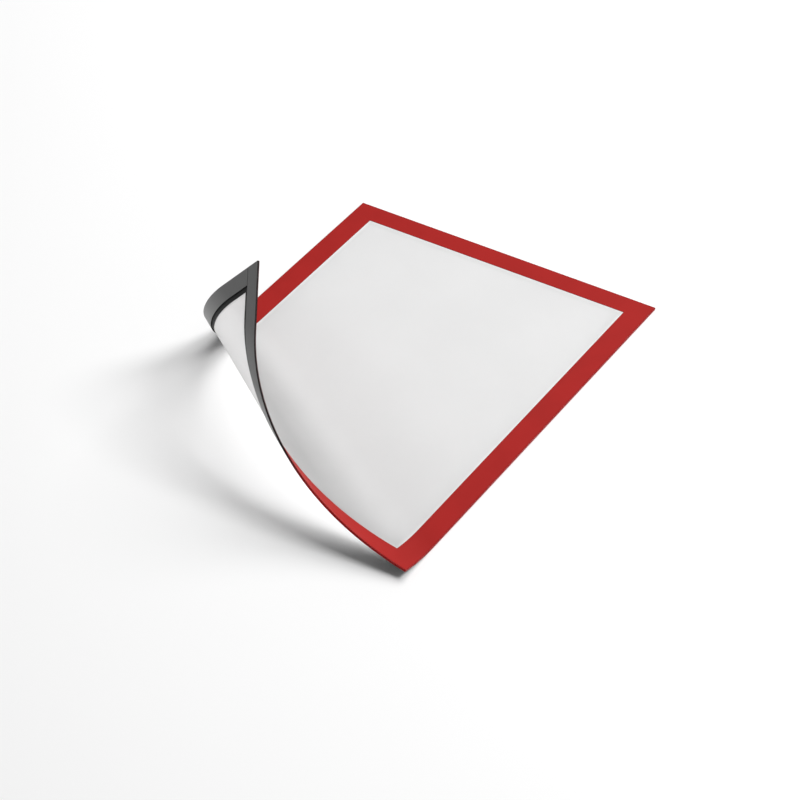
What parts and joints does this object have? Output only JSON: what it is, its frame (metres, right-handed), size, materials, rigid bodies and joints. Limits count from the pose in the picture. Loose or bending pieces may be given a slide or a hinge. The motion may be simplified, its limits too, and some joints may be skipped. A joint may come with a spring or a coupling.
{
  "type": "magnetic display frame",
  "caption": "Thin flexible frame for an A4 sheet: frosted window, red border, magnetic strips at the back, and a corner peeled up in a curl that lays flat.",
  "frame": {"origin": "centre of the flat frame, on the surface that the magnetic strips lie on", "axes": "+Z out of the front, +Y towards the top of an upright sheet, +X to the right seen from the front"},
  "size_m": [0.2365, 0.323, 0.1166],
  "materials": {
    "film": "frosted light grey film, matt on both faces",
    "foil": "red satin foil",
    "backing": "dark matt foil",
    "magnet": "dark grey satin magnetic rubber"
  },
  "bodies": {
    "sheet": {"border_backing": "backing", "border_foil": "foil", "magnet_strip_left": "magnet", "magnet_strip_right": "magnet", "magnet_strip_top": "magnet", "window_film": "film"},
    "band_01": {"border_backing_band_01": "backing", "border_foil_band_01": "foil", "magnet_strips_band_01": "magnet", "window_film_band_01": "film"},
    "band_02": {"border_backing_band_02": "backing", "border_foil_band_02": "foil", "magnet_strips_band_02": "magnet", "window_film_band_02": "film"},
    "band_03": {"border_backing_band_03": "backing", "border_foil_band_03": "foil", "magnet_strips_band_03": "magnet", "window_film_band_03": "film"},
    "band_04": {"border_backing_band_04": "backing", "border_foil_band_04": "foil", "magnet_strips_band_04": "magnet", "window_film_band_04": "film"},
    "band_05": {"border_backing_band_05": "backing", "border_foil_band_05": "foil", "magnet_strips_band_05": "magnet", "window_film_band_05": "film"},
    "band_06": {"border_backing_band_06": "backing", "border_foil_band_06": "foil", "magnet_strips_band_06": "magnet", "window_film_band_06": "film"},
    "band_07": {"border_backing_band_07": "backing", "border_foil_band_07": "foil", "magnet_strips_band_07": "magnet", "window_film_band_07": "film"},
    "band_08": {"border_backing_band_08": "backing", "border_foil_band_08": "foil", "magnet_strips_band_08": "magnet", "window_film_band_08": "film"},
    "band_09": {"border_backing_band_09": "backing", "border_foil_band_09": "foil", "magnet_strips_band_09": "magnet", "window_film_band_09": "film"},
    "band_10": {"border_backing_band_10": "backing", "border_foil_band_10": "foil", "magnet_strips_band_10": "magnet", "window_film_band_10": "film"},
    "band_11": {"border_backing_band_11": "backing", "border_foil_band_11": "foil", "magnet_strips_band_11": "magnet", "window_film_band_11": "film"},
    "band_12": {"border_backing_band_12": "backing", "border_foil_band_12": "foil", "magnet_strips_band_12": "magnet", "window_film_band_12": "film"},
    "corner": {"border_backing_corner": "backing", "border_foil_corner": "foil", "magnet_strips_corner": "magnet", "window_film_corner": "film"}
  },
  "joints": [
    {"name": "corner_peel", "type": "hinge", "parent": "sheet", "child": "band_01", "pos_m": [0, -0.05625, 0.0014], "axis": [-0.8528, 0.5222, 0], "range_deg": [-4.9, 1.22]},
    {"name": "bend_02", "type": "hinge", "parent": "band_01", "child": "band_02", "pos_m": [0.00003, -0.06853, 0.0023], "axis": [-0.8423, 0.5391, -0.0017], "range_deg": [-9.79, 2.45]},
    {"name": "bend_03", "type": "hinge", "parent": "band_02", "child": "band_03", "pos_m": [0.00022, -0.08088, 0.005], "axis": [-0.8316, 0.5553, -0.0068], "range_deg": [-9.79, 2.45]},
    {"name": "bend_04", "type": "hinge", "parent": "band_03", "child": "band_04", "pos_m": [-0.01009, -0.08551, 0.00932], "axis": [-0.8213, 0.5703, -0.0151], "range_deg": [-9.79, 2.45]},
    {"name": "bend_05", "type": "hinge", "parent": "band_04", "child": "band_05", "pos_m": [-0.02028, -0.0889, 0.01508], "axis": [-0.8116, 0.5836, -0.0263], "range_deg": [-9.79, 2.45]},
    {"name": "bend_06", "type": "hinge", "parent": "band_05", "child": "band_06", "pos_m": [-0.02928, -0.09154, 0.02208], "axis": [-0.8027, 0.595, -0.0402], "range_deg": [-9.79, 2.45]},
    {"name": "bend_07", "type": "hinge", "parent": "band_06", "child": "band_07", "pos_m": [-0.03702, -0.0933, 0.0301], "axis": [-0.795, 0.604, -0.0563], "range_deg": [-9.79, 2.45]},
    {"name": "bend_08", "type": "hinge", "parent": "band_07", "child": "band_08", "pos_m": [-0.04344, -0.09407, 0.03891], "axis": [-0.7886, 0.6103, -0.0742], "range_deg": [-9.79, 2.45]},
    {"name": "bend_09", "type": "hinge", "parent": "band_08", "child": "band_09", "pos_m": [-0.04852, -0.09379, 0.04825], "axis": [-0.7838, 0.6139, -0.0933], "range_deg": [-9.79, 2.45]},
    {"name": "bend_10", "type": "hinge", "parent": "band_09", "child": "band_10", "pos_m": [-0.05221, -0.09243, 0.05785], "axis": [-0.7807, 0.6145, -0.1131], "range_deg": [-9.79, 2.45]},
    {"name": "bend_11", "type": "hinge", "parent": "band_10", "child": "band_11", "pos_m": [-0.05451, -0.08999, 0.06748], "axis": [-0.7794, 0.6122, -0.1329], "range_deg": [-9.79, 2.45]},
    {"name": "bend_12", "type": "hinge", "parent": "band_11", "child": "band_12", "pos_m": [-0.05543, -0.0865, 0.07686], "axis": [-0.7799, 0.6071, -0.1522], "range_deg": [-9.79, 2.45]},
    {"name": "bend_13", "type": "hinge", "parent": "band_12", "child": "corner", "pos_m": [-0.05498, -0.08206, 0.08574], "axis": [-0.7823, 0.5992, -0.1705], "range_deg": [-4.9, 1.23]}
  ],
  "couplings": [
    {"joint": "bend_02", "follows": "corner_peel", "ratio": 2},
    {"joint": "bend_03", "follows": "corner_peel", "ratio": 2},
    {"joint": "bend_04", "follows": "corner_peel", "ratio": 2},
    {"joint": "bend_05", "follows": "corner_peel", "ratio": 2},
    {"joint": "bend_06", "follows": "corner_peel", "ratio": 2},
    {"joint": "bend_07", "follows": "corner_peel", "ratio": 2},
    {"joint": "bend_08", "follows": "corner_peel", "ratio": 2},
    {"joint": "bend_09", "follows": "corner_peel", "ratio": 2},
    {"joint": "bend_10", "follows": "corner_peel", "ratio": 2},
    {"joint": "bend_11", "follows": "corner_peel", "ratio": 2},
    {"joint": "bend_12", "follows": "corner_peel", "ratio": 2},
    {"joint": "bend_13", "follows": "corner_peel", "ratio": 1}
  ]
}
